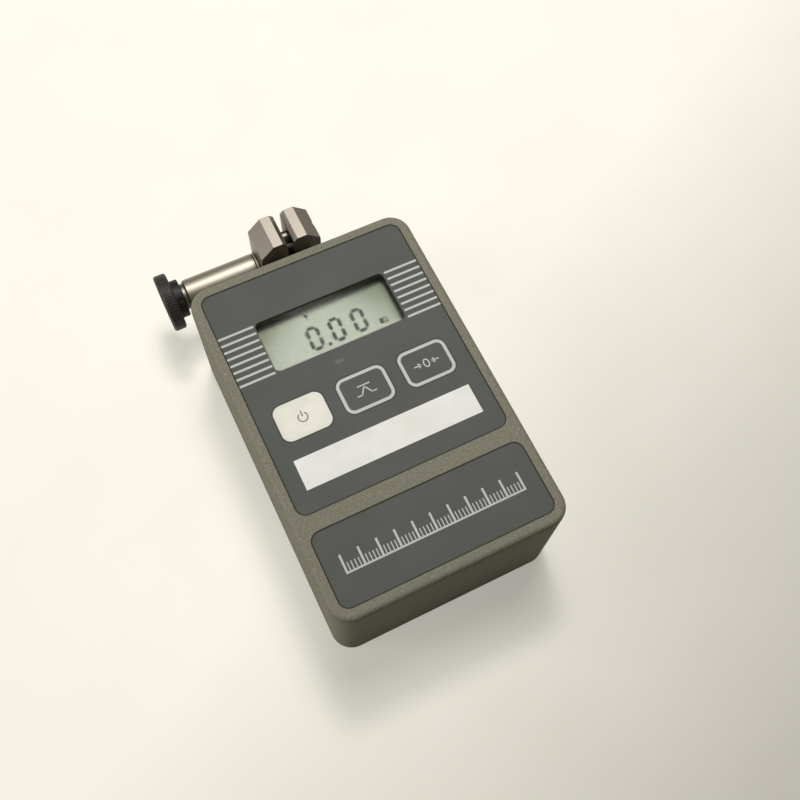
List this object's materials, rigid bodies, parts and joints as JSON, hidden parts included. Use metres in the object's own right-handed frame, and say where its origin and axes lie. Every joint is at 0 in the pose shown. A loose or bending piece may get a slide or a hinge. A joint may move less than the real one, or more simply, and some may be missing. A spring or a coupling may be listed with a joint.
{
  "type": "force gauge",
  "caption": "Hand-held digital force gauge: painted metal case with display and keys, and a screw-clamp film grip on its load shaft.",
  "frame": {"origin": "middle of the back face, which lies on the table", "axes": "+X to the right of the display face, +Y along the load shaft towards the grip, +Z out of the display face"},
  "size_m": [0.0859, 0.1448, 0.0478],
  "materials": {
    "housing_paint": "die casting with hammered olive grey paint",
    "label": "satin slate grey overlay",
    "pale_plastic": "satin ivory",
    "clear": "clear",
    "lcd": "grey-green reflective display",
    "black_plastic": "moulded",
    "steel": "ground stainless steel",
    "nickel": "bright nickel",
    "black_knob": "black anodised, knurled",
    "cell_alloy": "machined",
    "rubber": "soft",
    "board": "green solder mask",
    "battery_wrap": "printed steel can"
  },
  "bodies": {
    "housing": {"front_housing": "housing_paint", "back_cover": "housing_paint", "cover_screws": "steel", "upper_label": "label", "lower_label": "label", "blank_plate": "pale_plastic", "window_lens": "clear", "lcd_glass": "lcd", "lcd_frame": "black_plastic", "contact_strips": "rubber", "main_board": "board", "board_screws": "steel", "key_switches": "black_plastic", "board_chips": "black_plastic", "cell_anchor": "cell_alloy", "anchor_screws": "steel", "cell_bolt": "steel", "load_cell": "cell_alloy", "strain_gauges": "board", "dust_seal": "rubber", "battery": "battery_wrap", "battery_snap": "black_plastic", "battery_clip": "steel", "charger_jack": "black_plastic"},
    "power_key": {"power_key": "pale_plastic"},
    "hold_key": {"hold_key": "label"},
    "zero_key": {"zero_key": "label"},
    "load_shaft": {"load_shaft": "steel", "cell_nut": "steel", "foot_nut": "steel", "fixed_jaw": "steel", "guide_pins": "steel", "spacer_tube": "nickel", "tube_ring": "nickel"},
    "clamp_screw": {"clamp_screw": "steel", "thumb_knob": "black_knob", "knob_grub_screw": "steel", "retaining_ring": "steel", "thrust_washer": "nickel"},
    "moving_jaw": {"moving_jaw": "steel"}
  },
  "joints": [
    {"name": "power_key_press", "type": "slide", "parent": "housing", "child": "power_key", "axis": [0, 0, -1], "range_m": [0, 0.0004], "stiffness_N_per_m": 1500, "springref_m": -0.0003},
    {"name": "hold_key_press", "type": "slide", "parent": "housing", "child": "hold_key", "axis": [0, 0, -1], "range_m": [0, 0.0004], "stiffness_N_per_m": 1500, "springref_m": -0.0003},
    {"name": "zero_key_press", "type": "slide", "parent": "housing", "child": "zero_key", "axis": [0, 0, -1], "range_m": [0, 0.0004], "stiffness_N_per_m": 1500, "springref_m": -0.0003},
    {"name": "load_deflection", "type": "slide", "parent": "housing", "child": "load_shaft", "axis": [0, 1, 0], "range_m": [-0.00025, 0.00025], "stiffness_N_per_m": 40000},
    {"name": "screw_turn", "type": "hinge", "parent": "load_shaft", "child": "clamp_screw", "pos_m": [0, 0.07415, 0.0239], "axis": [1, 0, 0], "range_deg": [-1080, 640]},
    {"name": "jaw_slide", "type": "slide", "parent": "load_shaft", "child": "moving_jaw", "axis": [1, 0, 0], "range_m": [-0.00225, 0.0038]}
  ],
  "couplings": [
    {"joint": "screw_turn", "follows": "jaw_slide", "rad_per_m": -4947.4}
  ]
}
